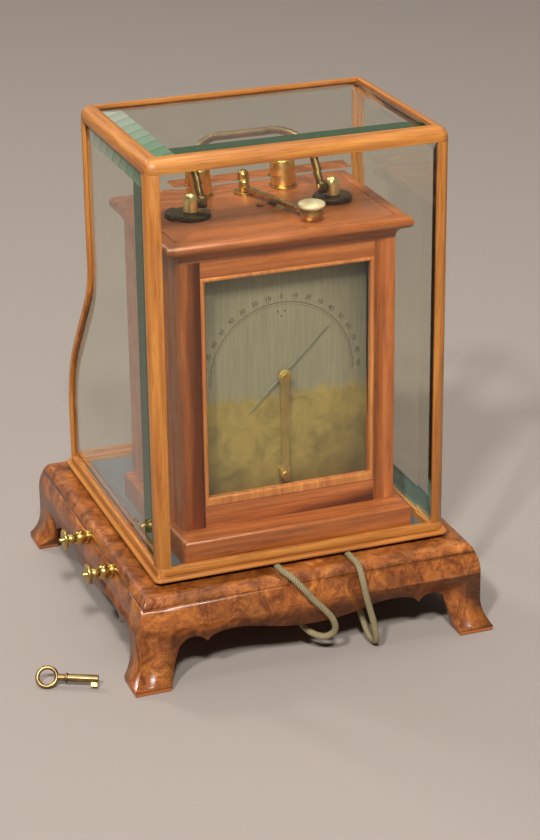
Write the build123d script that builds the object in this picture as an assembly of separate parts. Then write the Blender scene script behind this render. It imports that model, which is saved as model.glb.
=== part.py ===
"""A cased needle galvanometer: mahogany instrument, glazed lift-off cover and veneered bracket base."""

from build123d import *
import math
import os

# Frame: origin on the floor under the middle of the base, X right, Y back, Z up.

# Glazed cover
case_width = 210.0
case_depth = 216.0
case_depth_top = 150.0
case_height = 293.0
bar = 9.6
bar_round = 7.4
sill_height = 9.0
bead_reach = 2.6
bead_height = 2.9
bead_round = 1.2
bead_corner = 5.0
groove_height = 0.8
groove_depth = 0.8

# Sweep of the cover's back, seen from the side
sweep_start = 182.0
sweep_fall = 137.61
sweep_ease = 0.8614
hollow_share = 0.3224

# Panes
glass = 4.8
glass_recess = 2.6
pane_rebate = 2.0
pane_clearance = 0.1
bevel_width = 12.0
bevel_depth = 1.8

# Bracket base
deck_top = 64.8
deck_thickness = 7.0
reach_top = 8.5
reach_side = 19.5
reach_toe = 26.5
shoulder_height = 42.0
waist_height = 24.5
toe_height = 3.5
apron_inner_reach = 11.0
sole_height = 2.2
foot_length = 24.5

# Lower edge of an apron, measured from the foot's inner corner
foot_rise = 25.0
foot_lean = 8.5
lobe_inset = 17.5
lobe_height = 33.8
cusp_inset = 29.5
cusp_height = 28.7
crest_inset = 45.0
crest_height = 35.0
middle_height = 27.7

# Plinth on the deck, which the cover fits over
plinth_inset = 5.0
cover_gap = 3.2
seat_clearance = 0.2
plinth_side_clearance = 0.6
plinth_rise = 2.8

# Binding posts on the left side of the base
post_height = 57.2
post_front_y = -56.4
post_rear_y = 2.0
post_seat_radius = 5.0
post_seat_thickness = 1.6
post_ball_radius = 5.3
post_stud_radius = 1.5
post_stud_out = 21.5
post_seat_out = 1.0
post_root = 2.2
nut_bulb_radius = 3.6
nut_neck_radius = 2.3
nut_disc_radius = 7.4
nut_disc_out = 16.8
nut_disc_thickness = 1.8
thread_clearance = 0.05

# Leads
cord_diameter = 4.6
cord_clearance = 0.2
notch_side_clearance = 0.8
cord_rise = 0.6
cord_start_inset = 9.0
gland_radius = 5.0
gland_height = 4.0
floor_bush_side_gap = 14.4
floor_bush_y = -13.0
floor_bush_radius = 3.6
floor_bush_bore = 2.0
floor_bush_height = 1.2
bush_clearance = 0.05

# Instrument board and carcass
instrument_x = 0.8
board_height = 18.2
board_overhang = 5.6
board_front_gap = 10.6
board_rear_overhang = 3.0
board_edge_round = 2.0
carcass_side_gap = 28.0
carcass_front_gap = 29.0
carcass_rear_gap = 14.0
headroom = 65.0
side_thickness = 9.0
back_thickness = 7.0
frame_thickness = 15.0
stile_width = 15.0
lower_rail_height = 15.5
cavetto_height = 8.0
cavetto_reach = 7.0
nosing_height = 7.5
nosing_reach = 9.4
cornice_rear_reach = 3.0
top_groove_inset = 9.0
top_groove_width = 1.0
top_groove_depth = 0.8
upper_rail_height = 11.5
bead_width = 3.0
bead_foot_height = 6.5
bead_thickness = 4.0
bead_proud = 0.8
dial_glass_thickness = 2.2
dial_glass_clearance = 0.2

# Dial and movement
dial_thickness = 1.4
dial_margin = 4.5
pivot_share = 0.5076
arbor_radius = 0.8
arbor_clearance = 0.06
arbor_hole_radius = 2.6
needle_gap = 2.0
needle_thickness = 0.5
needle_angle = 45.8
needle_long = 46.0
needle_short = 36.0
needle_root_width = 1.4
needle_tip_width = 0.5
needle_hub_radius = 2.6
cock_gap = 4.4
cock_thickness = 1.3
cock_width = 7.0
cock_boss_radius = 4.8
cock_boss_thickness = 2.0
cock_foot_width = 10.5
cock_foot_height = 13.0
cock_foot_gap = 5.0
screw_head_radius = 3.1
screw_head_height = 1.3
screw_slot = 0.7
coil_length = 24.0
coil_gap = 6.0
coil_height = 62.0
coil_thickness = 24.0
coil_hollow_height = 46.0
coil_hollow_thickness = 7.0
coil_wall = 1.0
coil_flange = 1.5
magnet_length = 40.0
magnet_width = 5.0
magnet_thickness = 3.0
rear_bridge_width = 5.2
rear_bridge_thickness = 1.5
rear_bridge_span = 92.0

# Fittings on the instrument's top
handle_spread = 51.0
handle_rear_gap = 58.0
plate_radius = 13.8
plate_thickness = 3.4
lug_radius = 5.2
lug_height = 13.0
pin_height = 6.2
pin_radius = 2.2
pin_clearance = 0.06
leg_spread = 43.0
leg_eye_radius = 4.4
leg_eye_thickness = 4.6
lug_leg_gap = 0.4
bail_length = 43.5
bail_corner = 24.0
bail_width = 6.6
bail_thickness = 5.2
bail_lean = 45.0
terminal_spread = 31.0
terminal_rear_gap = 16.0
terminal_seat_radius = 10.0
terminal_seat_thickness = 1.6
terminal_stud_radius = 2.5
drum_radius = 8.7
drum_height = 12.5
drum_gap = 0.3
lever_rear_gap = 22.0
lever_angle = 16.8
lever_length = 75.2
lever_seat_radius = 7.4
lever_seat_thickness = 1.8
lever_stud_radius = 2.0
lever_hub_radius = 3.9
lever_hub_height = 8.6
lever_gap = 0.3
lever_arm_rise = 0.4
lever_weld = 0.5
lever_arm_width = 5.0
lever_arm_thickness = 2.6
cup_radius = 7.6
cup_height = 6.0
cup_lift = 0.8
cup_wall = 1.5
knob_neck_radius = 5.9
knob_neck_height = 3.2
knob_head_radius = 9.3
knob_head_height = 5.2
contact_distance = 31.5
contact_radius = 2.7
contact_height = 1.2

# Cover lock and its key
lock_half_width = 16.0
lock_wall = 2.6
lock_drop = 22.0
lock_guide_width = 8.0
lock_guide_height = 14.0
lock_guide_proud = 0.6
keyway_clearance = 0.1
keyhole_radius = 2.3
keyhole_slot = 1.8
keyhole_drop = 6.2
staple_thickness = 2.0
staple_width = 6.6
staple_length = 22.0
staple_flange = 12.0
staple_flange_thickness = 1.2
staple_inset = 4.6
bolt_width = 2.8
bolt_height = 5.8
bolt_length = 14.0
bolt_clearance = 0.2
bolt_drop = 17.5
key_side_gap = 19.0
key_front_gap = 3.5
key_turn = -26.0
key_tilt = 47.0
key_length = 43.0
key_bow_radius = 6.6
key_bow_wire = 1.45
key_shank_radius = 2.75
key_bit_width = 4.6
key_bit_reach = 5.6
key_bit_thickness = 1.6
key_lift = 6.28

# Places worked out from the sizes above
cover_bottom = deck_top + cover_gap
cover_front = -case_depth / 2
cover_rear = case_depth / 2
cover_rear_top = cover_front + case_depth_top
cover_top = cover_bottom + case_height
sill = cover_bottom + sill_height
head = cover_top - bar
floor_top = cover_bottom + plinth_rise
deck_underside = deck_top - deck_thickness
board_top = floor_top + board_height
cord_height = deck_top + cord_rise
cord_end = deck_underside - gland_height
instrument_top = cover_top - headroom
carcass_top_z = instrument_top - cavetto_height - nosing_height
carcass_width = case_width - 2 * carcass_side_gap
carcass_front = cover_front + carcass_front_gap
carcass_rear = cover_rear_top - carcass_rear_gap
opening_width = carcass_width - 2 * stile_width
opening_bottom = board_top + lower_rail_height
opening_top = carcass_top_z - upper_rail_height
pivot_height = opening_bottom + pivot_share * (opening_top - opening_bottom)
dial_front = carcass_front + frame_thickness
dial_rear = dial_front + dial_thickness
needle_front = dial_front - needle_gap - needle_thickness
cock_rear = dial_front - cock_gap
coil_y = dial_rear + coil_thickness / 2
rear_bridge_front = dial_rear + coil_thickness + 0.6


def box(x0, x1, y0, y1, z0, z1):
    """A block between two corners."""
    block = Box(x1 - x0, y1 - y0, z1 - z0)
    return Pos((x0 + x1) / 2, (y0 + y1) / 2, (z0 + z1) / 2) * block


def disc(x, y, z, radius, height):
    """An upright cylinder standing on height z."""
    return Pos(x, y, z + height / 2) * Cylinder(radius, height)


def turned(outline, origin, along):
    """A turned piece: outline edges lie in a plane whose X is the distance along the axis."""
    plane = Plane(origin=origin, x_dir=along, z_dir=Vector(0, 0, 1).cross(Vector(along)).normalized()
                  if abs(along[2]) < 0.9 else Vector(0, 1, 0))
    return revolve(plane * make_face(outline), axis=Axis(origin, along))


def chain(*points):
    """Straight edges through the points and back to the first."""
    return Polyline(*points, close=True)


# Sweep of the cover's back

def sweep_arcs():
    """Radius and centre of the hollow and of the belly in the YZ plane, and the angle both turn through."""
    step = case_depth - case_depth_top
    reach = sweep_ease * (sweep_fall ** 2 + step ** 2) / (2 * step)
    hollow = hollow_share * reach
    belly = reach - hollow
    span = math.hypot(sweep_fall, reach - step)
    turn = math.asin(reach / span) - math.atan2(reach - step, sweep_fall)
    start = cover_bottom + sweep_start
    hollow_centre = (cover_rear_top + hollow, start)
    belly_centre = (cover_rear - belly, start - sweep_fall)
    return hollow, hollow_centre, belly, belly_centre, turn


def back_edges(inset, bottom, top):
    """The back's outline from top to bottom, moved inwards by inset."""
    hollow_radius, (hollow_y, hollow_z), belly_radius, (belly_y, belly_z), sweep_turn = sweep_arcs()
    hollow = hollow_radius + inset
    belly = belly_radius - inset

    def on_hollow(share):
        turn = sweep_turn * share
        return hollow_y - hollow * math.cos(turn), hollow_z - hollow * math.sin(turn)

    def on_belly(share):
        turn = sweep_turn * share
        return belly_y + belly * math.cos(turn), belly_z + belly * math.sin(turn)

    return [
        Line((cover_rear_top - inset, top), on_hollow(0)),
        ThreePointArc(on_hollow(0), on_hollow(0.5), on_hollow(1)),
        Line(on_hollow(1), on_belly(1)),
        ThreePointArc(on_belly(1), on_belly(0.5), on_belly(0)),
        Line(on_belly(0), (cover_rear - inset, bottom)),
    ]


def side_slab(inset, bottom, top, x0, x1):
    """The cover's side outline, moved inwards by inset, as a slab between two X values."""
    front = cover_front + inset
    edges = back_edges(inset, bottom, top)
    edges += [
        Line((cover_rear - inset, bottom), (front, bottom)),
        Line((front, bottom), (front, top)),
        Line((front, top), (cover_rear_top - inset, top)),
    ]
    return extrude(Plane.YZ.offset(x0) * make_face(Curve() + edges), x1 - x0)


def back_band(outer, inner, bottom, top, half_width):
    """A sheet that follows the swept back between two insets."""
    edges = back_edges(outer, bottom, top) + back_edges(inner, bottom, top)
    edges += [
        Line((cover_rear_top - outer, top), (cover_rear_top - inner, top)),
        Line((cover_rear - outer, bottom), (cover_rear - inner, bottom)),
    ]
    return extrude(Plane.YZ.offset(-half_width) * make_face(Curve() + edges), 2 * half_width)


def wedge(side, half_width, front, rear, bottom, top, spare):
    """The mitred quarter of a rectangular ring on one side, from outside its edge inwards."""
    depth = min(half_width, (rear - front) / 2) * 0.6
    corners = {
        "front": [(-half_width - spare, front - spare), (half_width + spare, front - spare),
                  (half_width - depth, front + depth), (-half_width + depth, front + depth)],
        "rear": [(-half_width - spare, rear + spare), (half_width + spare, rear + spare),
                 (half_width - depth, rear - depth), (-half_width + depth, rear - depth)],
        "left": [(-half_width - spare, front - spare), (-half_width + depth, front + depth),
                 (-half_width + depth, rear - depth), (-half_width - spare, rear + spare)],
        "right": [(half_width + spare, front - spare), (half_width - depth, front + depth),
                  (half_width - depth, rear - depth), (half_width + spare, rear + spare)],
    }
    face = make_face(chain(*corners[side]))
    return extrude(Plane.XY.offset(bottom) * face, top - bottom)


def cover_frame():
    """The whole glazing frame in one, before it is cut into its bars at the joints."""
    half = case_width / 2
    frame = side_slab(0, cover_bottom, cover_top, -half, half)
    outer_edges = frame.edges().filter_by(lambda edge: edge.bounding_box().max.Z > cover_bottom + 1)
    frame = fillet(outer_edges, bar_round)

    # Sight openings: front to back, side to side, top and bottom
    sight = half - bar
    frame -= box(-sight, sight, cover_front - 1, cover_rear + 1, sill, head)
    frame -= side_slab(bar, sill, head, -half - 1, half + 1)
    frame -= box(-sight, sight, cover_front + bar, cover_rear_top - bar, sill, cover_top + 1)
    frame -= box(-sight, sight, cover_front + bar, cover_rear - bar, cover_bottom - 1, sill + 1)

    # Rebates for the panes, cut from the inside
    lap = bar - pane_rebate
    low = sill - pane_rebate
    high = head + pane_rebate
    wide = half - lap
    frame -= box(-wide, wide, cover_front + glass_recess, cover_front + bar, low, high)
    frame -= back_band(glass_recess, bar, low, high, wide)
    frame -= side_slab(lap, low, high, -half + glass_recess, -half + bar)
    frame -= side_slab(lap, low, high, half - bar, half - glass_recess)
    frame -= box(-wide, wide, cover_front + lap, cover_rear_top - lap, head, cover_top - glass_recess)
    return frame


def foot_bead():
    """The bead that runs round the foot of the cover."""
    width = case_width + 2 * bead_reach
    depth = case_depth + 2 * bead_reach
    plan = RectangleRounded(width, depth, bead_corner)
    bead = extrude(Plane.XY.offset(cover_bottom) * plan, bead_height)
    bead = fillet(bead.faces().sort_by(Axis.Z)[-1].edges(), bead_round)
    bead = fillet(bead.faces().sort_by(Axis.Z)[0].edges(), bead_round)
    inner = case_width / 2 - bar
    return bead - box(-inner, inner, cover_front + bar, cover_rear - bar, cover_bottom - 1, sill)


def quirk():
    """The narrow groove between the bead and the rail above it."""
    low = cover_bottom + bead_height
    ring = Box(case_width + 20, case_depth + 20, groove_height)
    core = Box(case_width - 2 * groove_depth, case_depth - 2 * groove_depth, groove_height + 1)
    return Pos(0, 0, low + groove_height / 2) * (ring - core)


def add_cover_bars(nodes):
    """Four posts, four top rails and four bottom rails, mitred where they meet."""
    frame = cover_frame()
    half = case_width / 2
    middle = cover_front + bar + 1
    for name, x0, x1 in (("left", -half - 1, 0), ("right", 0, half + 1)):
        front_post = box(x0, x1, cover_front - 1, middle, sill, head)
        rear_post = box(x0, x1, middle, cover_rear + 1, sill, head)
        nodes["cover_post_front_" + name] = frame & front_post
        nodes["cover_post_rear_" + name] = frame & rear_post
    foot = (frame + foot_bead()) - quirk()
    for side in ("front", "rear", "left", "right"):
        top_part = wedge(side, half, cover_front, cover_rear_top, head, cover_top, 1)
        foot_part = wedge(side, half, cover_front, cover_rear, cover_bottom, sill, 2 * bead_reach)
        nodes["cover_top_rail_" + side] = frame & top_part
        nodes["cover_bottom_rail_" + side] = foot & foot_part


def bevelled(pane, outer_face):
    """Grind the broad bevel round a pane's outer face."""
    return chamfer(outer_face.edges(), bevel_width, bevel_depth, reference=outer_face)


def add_panes(nodes):
    """Five panes: four ground with a bevel, and the bent one at the back."""
    half = case_width / 2
    lap = bar - pane_rebate + pane_clearance
    low = sill - pane_rebate + pane_clearance
    high = head + pane_rebate - pane_clearance
    wide = half - lap
    outer = cover_front + glass_recess
    front = box(-wide, wide, outer, outer + glass, low, high)
    nodes["pane_front"] = bevelled(front, front.faces().sort_by(Axis.Y)[0])
    top_outer = cover_top - glass_recess
    top = box(-wide, wide, cover_front + lap, cover_rear_top - lap, top_outer - glass, top_outer)
    nodes["pane_top"] = bevelled(top, top.faces().sort_by(Axis.Z)[-1])
    left = side_slab(lap, low, high, -half + glass_recess, -half + glass_recess + glass)
    nodes["pane_left"] = bevelled(left, left.faces().sort_by(Axis.X)[0])
    right = side_slab(lap, low, high, half - glass_recess - glass, half - glass_recess)
    nodes["pane_right"] = bevelled(right, right.faces().sort_by(Axis.X)[-1])
    nodes["pane_rear"] = back_band(glass_recess, glass_recess + glass, low, high, wide)


# Bracket base

def moulding_face(half):
    """Cross-section of the base with its ogee sides, from the floor to the deck."""
    side = half + reach_side
    shoulder = deck_top - shoulder_height
    swell = reach_side - reach_top
    rise = waist_height - toe_height
    out = reach_toe - reach_side
    cove = (rise * rise + out * out) / (2 * out)
    turn = math.asin(rise / cove) / 2
    cove_middle = (side + cove - cove * math.cos(turn), waist_height - cove * math.sin(turn))
    swell_turn = math.radians(45)
    swell_middle = (half + reach_top + swell * math.cos(swell_turn),
                    shoulder_height + shoulder * math.sin(swell_turn))
    edges = []
    for way in (-1, 1):
        edges += [
            Line((0, 0), (way * (half + reach_toe), 0)),
            Line((way * (half + reach_toe), 0), (way * (half + reach_toe), toe_height)),
            ThreePointArc((way * (half + reach_toe), toe_height), (way * cove_middle[0], cove_middle[1]),
                          (way * side, waist_height)),
            Line((way * side, waist_height), (way * side, shoulder_height)),
            Spline((way * side, shoulder_height), (way * swell_middle[0], swell_middle[1]),
                   (way * (half + reach_top), deck_top), tangents=[(0, 1), (-way, 0)]),
            Line((way * (half + reach_top), deck_top), (0, deck_top)),
        ]
    return make_face(Curve() + edges)


def scallop_face(half):
    """The open space under one apron: two feet, two lobes, two cusps and the long middle curve."""
    inner = half + reach_toe - foot_length
    edges = []
    for way in (-1, 1):
        foot = (way * inner, -1)
        ankle = (way * (inner - foot_lean), foot_rise)
        lobe = (way * (inner - lobe_inset), lobe_height)
        cusp = (way * (inner - cusp_inset), cusp_height)
        crest = (way * (inner - crest_inset), crest_height)
        shin = (way * (inner - foot_lean / 2), foot_rise / 2)
        edges += [
            Line((0, -1), foot),
            ThreePointArc(foot, shin, ankle),
            ThreePointArc(ankle, lobe, cusp),
            Spline(cusp, crest, (0, middle_height), tangents=[(-way * 0.5, 0.87), (-way, 0)]),
        ]
    return make_face(Curve() + edges)


def base_block():
    """The solid base with all four moulded sides, mitred at the corners."""
    along = case_width + case_depth
    front_view = extrude(Plane.XZ.offset(-along / 2) * moulding_face(case_width / 2), along)
    side_view = extrude(Plane.YZ.offset(-along / 2) * moulding_face(case_depth / 2), along)
    return front_view & side_view


def add_base(nodes, notches, slot, sockets):
    """Deck, four aprons and the soles under the four feet."""
    block = base_block()
    width = case_width / 2 + reach_toe + 1
    depth = case_depth / 2 + reach_toe + 1
    deck = block & box(-width, width, -depth, depth, deck_underside, deck_top)
    nodes["base_deck"] = deck - notches - slot - sockets
    inner_x = case_width / 2 + apron_inner_reach
    inner_y = case_depth / 2 + apron_inner_reach
    skirt = block - box(-inner_x, inner_x, -inner_y, inner_y, -1, deck_top + 1)
    along = case_width + case_depth
    skirt -= extrude(Plane.XZ.offset(-along / 2) * scallop_face(case_width / 2), along)
    skirt -= extrude(Plane.YZ.offset(-along / 2) * scallop_face(case_depth / 2), along)
    for side in ("front", "rear", "left", "right"):
        part = wedge(side, case_width / 2 + reach_toe, -case_depth / 2 - reach_toe,
                     case_depth / 2 + reach_toe, sole_height, deck_underside, 0)
        apron = skirt & part
        if side == "rear":
            apron -= lock_guide(keyway_clearance, case_depth)
        if side == "left":
            apron -= sockets
        nodes["base_apron_" + side] = apron
    nodes["base_foot_soles"] = skirt & box(-width, width, -depth, depth, 0, sole_height)


def add_plinth(nodes, notches, slot):
    """The stepped floor panel: the cover stands on its step and fits round its upper part."""
    step_x = case_width / 2 - plinth_inset
    step_y = case_depth / 2 - plinth_inset
    step = box(-step_x, step_x, -step_y, step_y, deck_top, cover_bottom - seat_clearance)
    upper_x = case_width / 2 - bar - plinth_side_clearance
    upper_y = case_depth / 2 - bar - plinth_side_clearance
    upper = box(-upper_x, upper_x, -upper_y, upper_y, deck_top, floor_top)
    bush_x = floor_bush_side_gap - case_width / 2
    bush_hole = disc(bush_x, floor_bush_y, deck_top, floor_bush_radius * 0.8 + bush_clearance,
                     2 * plinth_rise + cover_gap)
    nodes["floor_panel"] = (step + upper) - notches - slot - bush_hole


# Leads

left_route = [
    (-20.2, cover_front + cord_start_inset, cord_height),
    (-20.2, cover_front - 8.6, cord_height),
    (-17.2, cover_front - 17.8, deck_top + 0.8),
    (-9.8, cover_front - 23.0, deck_top - 7.8),
    (-2.4, cover_front - 24.4, 47.2),
    (6.4, cover_front - 24.6, 37.8),
    (12.6, cover_front - 24.4, 28.6),
    (14.2, cover_front - 22.6, 19.6),
    (8.0, cover_front - 18.0, 13.6),
    (-1.0, cover_front - 10.0, 15.6),
    (-6.6, cover_front - 2.4, 24.0),
    (-9.8, cover_front + 3.0, 34.0),
    (-11.6, cover_front + 6.0, 43.6),
    (-11.6, cover_front + 6.0, cord_end),
]
right_route = [
    (32.0, cover_front + cord_start_inset, cord_height),
    (32.0, cover_front - 8.6, cord_height),
    (32.8, cover_front - 17.8, deck_top + 0.4),
    (33.8, cover_front - 23.2, deck_top - 9.2),
    (35.6, cover_front - 24.6, 44.0),
    (38.6, cover_front - 24.8, 32.6),
    (42.0, cover_front - 24.6, 20.4),
    (44.2, cover_front - 24.1, 8.7),
    (44.9, cover_front - 19.7, 4.3),
    (44.0, cover_front - 13.5, 4.3),
    (42.6, cover_front - 9.1, 8.7),
    (40.4, cover_front - 4.6, 19.2),
    (37.8, cover_front + 1.4, 31.0),
    (36.0, cover_front + 5.0, 42.6),
    (36.0, cover_front + 5.0, cord_end),
]


def cord_radii(route):
    """The largest radius that each corner's two runs allow."""
    radii = []
    for before, corner, after in zip(route, route[1:], route[2:]):
        first = Vector(corner) - Vector(before)
        second = Vector(after) - Vector(corner)
        half_turn = math.radians(first.get_angle(second)) / 2
        radii.append(0.45 * min(first.length, second.length) / math.tan(half_turn))
    return radii


def cord_tube(name, route):
    """A plain tube along the route's runs and arcs."""
    radii = cord_radii(route)
    path = FilletPolyline(*route, radius=radii)
    start = Plane(origin=path @ 0, z_dir=path % 0)
    tube = sweep(start * Circle(cord_diameter / 2), path=path)
    section = math.pi * cord_diameter ** 2 / 4
    share = tube.volume / (section * path.length)
    print(name, "length %.1f" % path.length, "volume share %.4f" % share)
    print("  radii", " ".join("%.1f" % radius for radius in radii))
    return tube


def cord_notches():
    """The two grooves through which the leads leave from under the cover."""
    notch_width = cord_diameter + 2 * notch_side_clearance
    cuts = []
    for route in (left_route, right_route):
        x, start, z = route[0]
        low = z - cord_diameter / 2 - cord_clearance
        half = notch_width / 2
        cuts.append(box(x - half, x + half, -case_depth, start, low, cover_bottom))
    return cuts[0] + cuts[1]


def add_leads(nodes):
    """Both leads, the glands that take their far ends, and the bush in the floor at the left."""
    nodes["lead_cord_left"] = cord_tube("lead_cord_left", left_route)
    nodes["lead_cord_right"] = cord_tube("lead_cord_right", right_route)
    glands = []
    for route in (left_route, right_route):
        x, y, z = route[-1]
        outline = chain((0, 0), (0, gland_radius * 0.6), (gland_height * 0.5, gland_radius * 0.7),
                        (gland_height * 0.55, gland_radius), (gland_height, gland_radius), (gland_height, 0))
        glands.append(turned(outline, (x, y, z), (0, 0, 1)))
    bush_x = floor_bush_side_gap - case_width / 2
    bush = disc(bush_x, floor_bush_y, floor_top, floor_bush_radius, floor_bush_height)
    bush += disc(bush_x, floor_bush_y, deck_top, floor_bush_radius * 0.8, floor_top - deck_top)
    bush -= disc(bush_x, floor_bush_y, deck_underside, floor_bush_bore, 2 * deck_top)
    nodes["lead_bushes"] = glands[0] + glands[1] + bush


# Binding posts

def post_roots():
    """Centres of the posts' inner ends, let a little into the swelling side."""
    wall_share = (post_height - shoulder_height) / (deck_top - shoulder_height)
    swell = (reach_side - reach_top) * math.sqrt(1 - wall_share ** 2)
    root_x = -case_width / 2 - reach_top - swell + post_root
    return {"front": (root_x, post_front_y, post_height), "rear": (root_x, post_rear_y, post_height)}


def post_sockets():
    """The flat-bottomed round seats for the posts, cut in deck and apron together."""
    sockets = []
    for x, y, z in post_roots().values():
        socket = Rot(0, 90, 0) * Cylinder(post_seat_radius + bush_clearance, reach_toe)
        sockets.append(Pos(x - reach_toe / 2, y, z) * socket)
    return sockets[0] + sockets[1]


def add_binding_posts(nodes):
    """Two posts on the base's left side, each with a thumb nut on its stud."""
    seat_end = post_root + post_seat_out + post_seat_thickness
    ball_end = seat_end + 2 * post_ball_radius * 0.72
    ball_rim = post_seat_radius * 0.72
    stud_end = post_root + post_stud_out
    post = [
        Line((0, 0), (0, post_seat_radius)),
        Line((0, post_seat_radius), (seat_end - 0.4, post_seat_radius)),
        Line((seat_end - 0.4, post_seat_radius), (seat_end, ball_rim)),
        ThreePointArc((seat_end, ball_rim), ((seat_end + ball_end) / 2, post_ball_radius),
                      (ball_end, ball_rim)),
        Line((ball_end, ball_rim), (ball_end, post_stud_radius)),
        Line((ball_end, post_stud_radius), (stud_end, post_stud_radius)),
        Line((stud_end, post_stud_radius), (stud_end, 0)),
        Line((stud_end, 0), (0, 0)),
    ]
    start = ball_end + drum_gap
    bulb_end = start + 2 * nut_bulb_radius * 0.8
    disc_start = post_root + nut_disc_out
    disc_end = disc_start + nut_disc_thickness
    neck = nut_neck_radius + 0.5
    bore = post_stud_radius + thread_clearance
    nut = [
        Line((start, bore), (start, nut_bulb_radius * 0.8)),
        ThreePointArc((start, nut_bulb_radius * 0.8), ((start + bulb_end) / 2, nut_bulb_radius),
                      (bulb_end, nut_neck_radius)),
        Line((bulb_end, nut_neck_radius), (disc_start, neck)),
        Line((disc_start, neck), (disc_start, nut_disc_radius)),
        Line((disc_start, nut_disc_radius), (disc_end, nut_disc_radius)),
        Line((disc_end, nut_disc_radius), (disc_end, bore)),
        Line((disc_end, bore), (start, bore)),
    ]
    for name, root in post_roots().items():
        nodes["binding_post_" + name] = turned(Curve() + post, root, (-1, 0, 0))
        nodes["thumb_nut_" + name] = turned(Curve() + nut, root, (-1, 0, 0))


# Instrument

def add_carcass(nodes):
    """Board, sides, back, front frame and the moulded top."""
    left = instrument_x - carcass_width / 2
    right = instrument_x + carcass_width / 2
    board = box(left - board_overhang, right + board_overhang, cover_front + board_front_gap,
                carcass_rear + board_rear_overhang, floor_top, board_top)
    nodes["instrument_board"] = fillet(board.faces().sort_by(Axis.Z)[-1].edges(), board_edge_round)
    side_front = carcass_front + frame_thickness
    low, high = board_top, carcass_top_z
    side_left = box(left, left + side_thickness, side_front, carcass_rear, low, high)
    side_right = box(right - side_thickness, right, side_front, carcass_rear, low, high)
    nodes["carcass_sides"] = side_left + side_right
    nodes["carcass_back"] = box(left + side_thickness, right - side_thickness,
                                carcass_rear - back_thickness, carcass_rear, low, high)
    sight_left = instrument_x - opening_width / 2
    sight_right = instrument_x + opening_width / 2
    stile_left = box(left, sight_left, carcass_front, side_front, low, high)
    stile_right = box(sight_right, right, carcass_front, side_front, low, high)
    rail_lower = box(sight_left, sight_right, carcass_front, side_front, low, opening_bottom)
    rail_upper = box(sight_left, sight_right, carcass_front, side_front, opening_top, high)
    nodes["front_frame"] = Compound([stile_left, stile_right, rail_lower, rail_upper])
    nodes["carcass_top"] = carcass_top()


def cornice_edges(flank, way):
    """One side of the cornice's cross-section: cavetto below, round nosing above."""
    low = carcass_top_z
    step = low + cavetto_height
    bend = cavetto_reach * (1 - math.cos(math.radians(45)))
    lift = cavetto_height * math.sin(math.radians(45))
    return [
        ThreePointArc((flank, low), (flank + way * bend, low + lift), (flank + way * cavetto_reach, step)),
        ThreePointArc((flank + way * cavetto_reach, step),
                      (flank + way * nosing_reach, step + nosing_height / 2),
                      (flank + way * cavetto_reach, instrument_top)),
    ]


def carcass_top():
    """The top board with its cornice on the front and both sides, square at the back."""
    half = carcass_width / 2
    edges = cornice_edges(half, 1) + cornice_edges(-half, -1)
    edges += [
        Line((-half, carcass_top_z), (half, carcass_top_z)),
        Line((-half - cavetto_reach, instrument_top), (half + cavetto_reach, instrument_top)),
    ]
    across = Plane.XZ.offset(-case_depth) * make_face(Curve() + edges)
    front_view = Pos(instrument_x, 0, 0) * extrude(across, 2 * case_depth)
    back = carcass_rear + cornice_rear_reach
    edges = cornice_edges(carcass_front, -1)
    edges += [
        Line((carcass_front, carcass_top_z), (back, carcass_top_z)),
        Line((back, carcass_top_z), (back, instrument_top)),
        Line((back, instrument_top), (carcass_front - cavetto_reach, instrument_top)),
    ]
    side_view = extrude(Plane.YZ.offset(-case_width) * make_face(Curve() + edges), 2 * case_width)
    top = front_view & side_view
    # The groove that parts the moulded border from the panel
    reach = half + nosing_reach - top_groove_inset
    front = carcass_front - nosing_reach + top_groove_inset
    rear = back - top_groove_inset
    outer = box(-reach, reach, front, rear, instrument_top - top_groove_depth, instrument_top + 1)
    inner = box(-reach + top_groove_width, reach - top_groove_width, front + top_groove_width,
                rear - top_groove_width, instrument_top - 2 * top_groove_depth, instrument_top + 1)
    return top - Pos(instrument_x, 0, 0) * (outer - inner)


def add_dial(nodes):
    """Bead, glass and dial plate in the front frame."""
    half = opening_width / 2
    front = carcass_front - bead_proud
    back = carcass_front + bead_thickness
    low, high = opening_bottom, opening_top
    sight_low, sight_high = low + bead_foot_height, high - bead_width
    sight = half - bead_width
    corners = {
        "left": [(-half, low), (-sight, sight_low), (-sight, sight_high), (-half, high)],
        "right": [(half, low), (sight, sight_low), (sight, sight_high), (half, high)],
        "foot": [(-half, low), (half, low), (sight, sight_low), (-sight, sight_low)],
        "head": [(-half, high), (half, high), (sight, sight_high), (-sight, sight_high)],
    }
    beads = []
    for points in corners.values():
        strip = extrude(Plane.XZ.offset(-back) * make_face(chain(*points)), back - front)
        face = strip.faces().sort_by(Axis.Y)[0]
        longest = face.edges().sort_by(SortBy.LENGTH)[-2:]
        beads.append(Pos(instrument_x, 0, 0) * chamfer(longest, bead_width * 0.3))
    nodes["dial_bead"] = beads[0] + beads[1] + beads[2] + beads[3]
    gap = dial_glass_clearance
    nodes["dial_glass"] = box(instrument_x - half + gap, instrument_x + half - gap, back,
                              back + dial_glass_thickness, low + gap, high - gap)
    plate = box(instrument_x - half - dial_margin, instrument_x + half + dial_margin,
                dial_front, dial_rear, low - dial_margin, high + dial_margin)
    hole = Pos(instrument_x, dial_front, pivot_height) * Rot(90, 0, 0) * Cylinder(arbor_hole_radius, 10)
    nodes["dial_plate"] = plate - hole


def slotted_head(at, radius, height):
    """A cheese-head screw seen from the front, its slot level."""
    x, y, z = at
    head_solid = Pos(x, y - height / 2, z) * Rot(90, 0, 0) * Cylinder(radius, height)
    head_solid = fillet(head_solid.faces().sort_by(Axis.Y)[0].edges(), height * 0.3)
    return head_solid - box(x - radius - 1, x + radius + 1, y - height - 1, y - height * 0.5,
                            z - screw_slot / 2, z + screw_slot / 2)


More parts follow.
